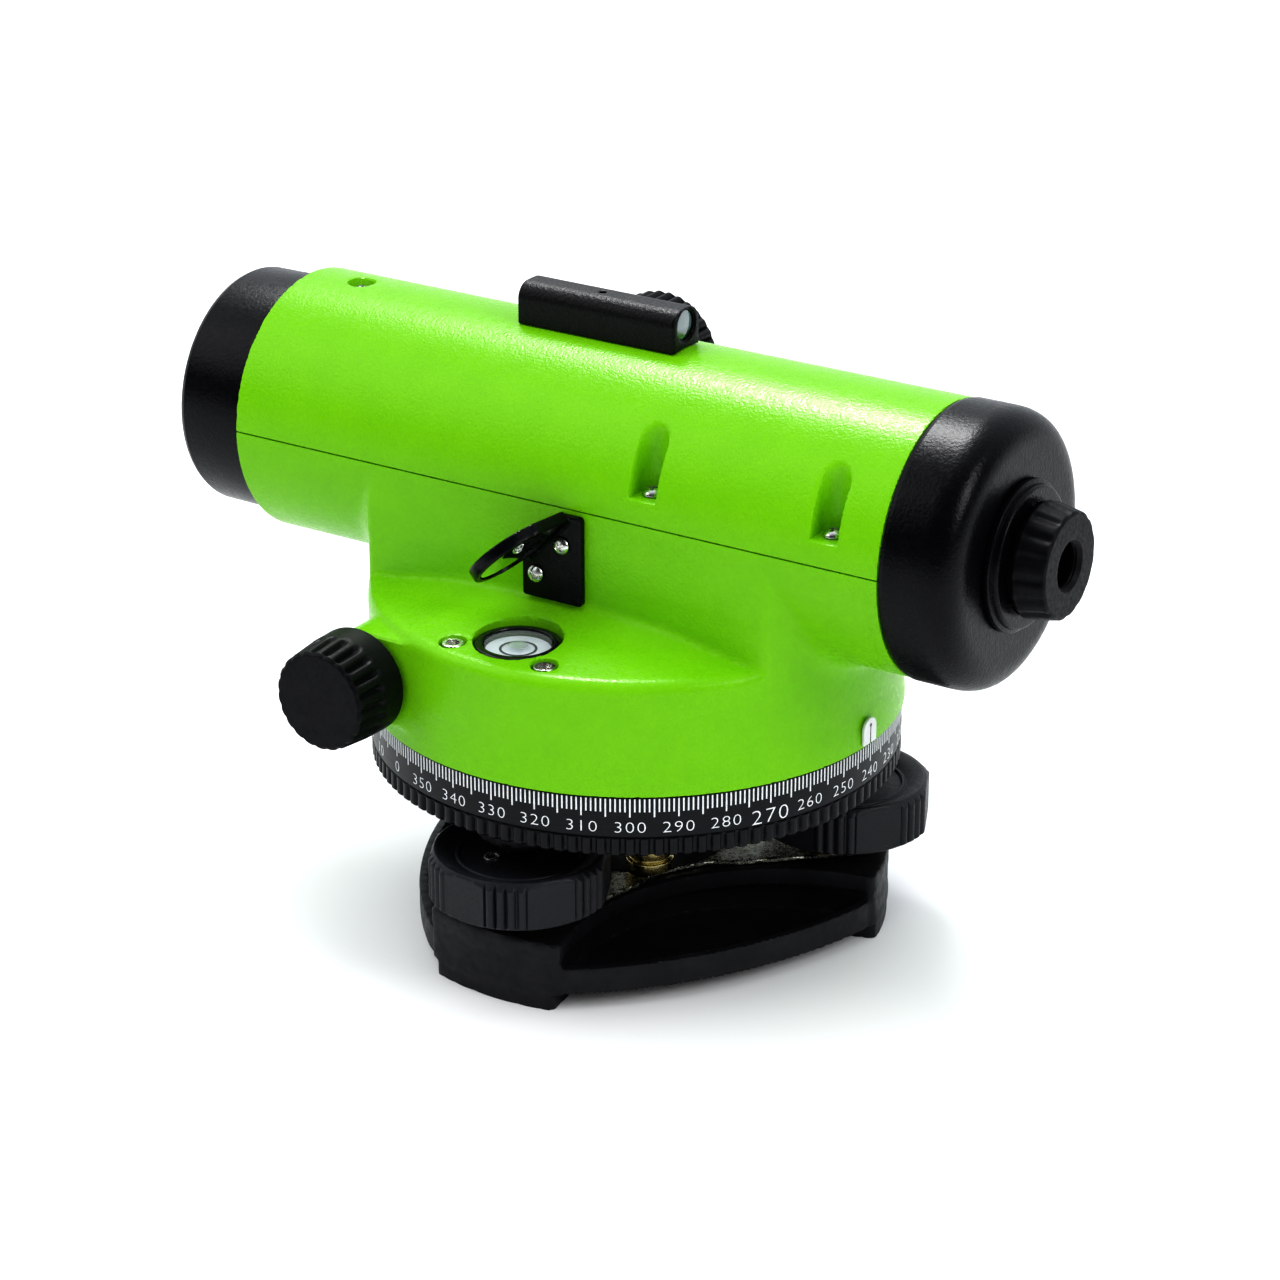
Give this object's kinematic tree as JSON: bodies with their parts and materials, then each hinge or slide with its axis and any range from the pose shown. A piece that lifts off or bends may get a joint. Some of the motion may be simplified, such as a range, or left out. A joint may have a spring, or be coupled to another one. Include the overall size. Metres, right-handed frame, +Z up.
{
  "type": "automatic level",
  "caption": "Automatic optical level: telescope with compensator, circular bubble with mirror, graduated circle, slow-motion drive and three-screw levelling base.",
  "frame": {"origin": "on the vertical axis, at the plane on which the base's three corners stand", "axes": "+X from the objective to the eyepiece along the line of sight, +Y to the focusing knob's side (the circular bubble is on the -Y side), +Z up along the vertical axis"},
  "size_m": [0.207, 0.14, 0.1407],
  "materials": {
    "green_paint": "satin, fine orange peel",
    "black_paint": "semi-gloss, fine texture",
    "black_plastic": "moulded, satin",
    "base_black": "matt black enamel",
    "dial_black": "black anodised with white graduations",
    "zinc_steel": "zinc plated, scuffed",
    "chromate_steel": "yellow chromate",
    "bright_steel": "bright",
    "brass": "turned",
    "silver_label": "satin silver",
    "dark_aluminium": "black anodised",
    "mirror_silver": "silvered",
    "clear_glass": "polished",
    "coated_glass": "coated, polished"
  },
  "bodies": {
    "base": {"base_casting": "base_black", "bottom_plate": "chromate_steel", "tripod_bush": "bright_steel", "spring_plate": "zinc_steel", "plate_stud_1": "brass", "plate_stud_2": "brass", "plate_stud_3": "brass"},
    "foot_screw_A": {"foot_screw_A": "bright_steel", "foot_knob_A": "black_plastic"},
    "foot_screw_B": {"foot_screw_B": "bright_steel", "foot_knob_B": "black_plastic"},
    "foot_screw_C": {"foot_screw_C": "bright_steel", "foot_knob_C": "black_plastic"},
    "rocker": {"foot_bush_B": "brass", "foot_bush_C": "brass"},
    "levelling_head": {"levelling_head": "base_black", "foot_bush_A": "brass", "axis_sleeve": "bright_steel"},
    "circle": {"graduated_circle": "dial_black"},
    "body": {"lower_body": "green_paint", "upper_cover": "green_paint", "vertical_spindle": "bright_steel", "cover_screw_1": "bright_steel", "cover_screw_2": "bright_steel", "cover_screw_3": "bright_steel", "cover_screw_4": "bright_steel", "cover_screw_5": "bright_steel", "bubble_cup": "black_plastic", "bubble_vial": "clear_glass", "bubble_adjuster_1": "bright_steel", "bubble_adjuster_2": "bright_steel", "mirror_bracket": "black_paint", "mirror_glass": "mirror_silver", "bracket_screw_1": "bright_steel", "bracket_screw_2": "bright_steel", "index_tab": "silver_label", "sight_body": "black_paint", "sight_lens": "coated_glass", "sight_window": "coated_glass", "objective_ring": "black_paint", "objective_lens": "coated_glass", "guide_tube": "dark_aluminium", "reticle": "clear_glass", "reticle_tube": "dark_aluminium", "eyepiece_cap": "black_paint", "eyepiece_collar": "black_paint", "compensator_frame": "dark_aluminium"},
    "worm_wheel": {"worm_wheel": "brass"},
    "drive": {"drive_shaft": "bright_steel", "drive_knob_left": "black_plastic", "drive_knob_right": "black_plastic"},
    "focus_knob": {"focus_knob": "black_plastic", "focus_pinion": "bright_steel"},
    "focus_slide": {"focus_cell": "dark_aluminium", "focus_lens": "coated_glass"},
    "eyepiece_ring": {"eyepiece_ring": "black_plastic"},
    "ocular": {"ocular_cell": "dark_aluminium", "ocular_lens": "coated_glass"},
    "pendulum": {"pendulum": "brass", "pendulum_prism": "clear_glass"}
  },
  "joints": [
    {"name": "level_roll", "type": "hinge", "parent": "base", "child": "rocker", "pos_m": [0, 0, 0.037], "axis": [0, 1, 0], "range_deg": [-2.8, 2.8]},
    {"name": "level_pitch", "type": "hinge", "parent": "rocker", "child": "levelling_head", "pos_m": [0, 0.02275, 0.037], "axis": [1, 0, 0], "range_deg": [-1.65, 1.65]},
    {"name": "foot_screw_A_turn", "type": "hinge", "parent": "base", "child": "foot_screw_A", "pos_m": [0, -0.0455, 0.0192], "axis": [0, 0, 1], "range_deg": [-960, 960]},
    {"name": "foot_screw_B_turn", "type": "hinge", "parent": "base", "child": "foot_screw_B", "pos_m": [0.0394, 0.02275, 0.0192], "axis": [0, 0, 1], "range_deg": [-940, 940]},
    {"name": "foot_screw_C_turn", "type": "hinge", "parent": "base", "child": "foot_screw_C", "pos_m": [-0.0394, 0.02275, 0.0192], "axis": [0, 0, 1], "range_deg": [-940, 940]},
    {"name": "circle_turn", "type": "hinge", "parent": "levelling_head", "child": "circle", "pos_m": [0, 0, 0.0395], "axis": [0, 0, 1], "continuous": true},
    {"name": "body_turn", "type": "hinge", "parent": "levelling_head", "child": "body", "pos_m": [0, 0, 0.0525], "axis": [0, 0, 1], "continuous": true},
    {"name": "worm_wheel_turn", "type": "hinge", "parent": "body", "child": "worm_wheel", "pos_m": [0, 0, 0.066], "axis": [0, 0, 1], "continuous": true},
    {"name": "drive_turn", "type": "hinge", "parent": "body", "child": "drive", "pos_m": [-0.0336, 0, 0.066], "axis": [0, 1, 0], "continuous": true},
    {"name": "focus_turn", "type": "hinge", "parent": "body", "child": "focus_knob", "pos_m": [-0.025, 0, 0.1104], "axis": [0, 1, 0], "range_deg": [-180, 180]},
    {"name": "focus_travel", "type": "slide", "parent": "body", "child": "focus_slide", "axis": [1, 0, 0], "range_m": [-0.008, 0.008]},
    {"name": "eyepiece_turn", "type": "hinge", "parent": "body", "child": "eyepiece_ring", "pos_m": [0.097, 0, 0.10265], "axis": [1, 0, 0], "range_deg": [-180, 180]},
    {"name": "ocular_travel", "type": "slide", "parent": "body", "child": "ocular", "axis": [1, 0, 0], "range_m": [-0.0016, 0.0016]},
    {"name": "pendulum_swing", "type": "hinge", "parent": "body", "child": "pendulum", "pos_m": [0.032, 0, 0.114], "axis": [0, 1, 0], "range_deg": [-0.5, 0.5]}
  ],
  "couplings": [
    {"joint": "foot_screw_A_turn", "follows": "level_pitch", "ratio": 571.77},
    {"joint": "foot_screw_B_turn", "follows": "level_roll", "ratio": 330.11},
    {"joint": "foot_screw_C_turn", "follows": "level_roll", "ratio": -330.11},
    {"joint": "drive_turn", "follows": "worm_wheel_turn", "ratio": 36},
    {"joint": "focus_travel", "follows": "focus_turn", "m_per_rad": -0.0025},
    {"joint": "ocular_travel", "follows": "eyepiece_turn", "m_per_rad": 0.00047746}
  ]
}
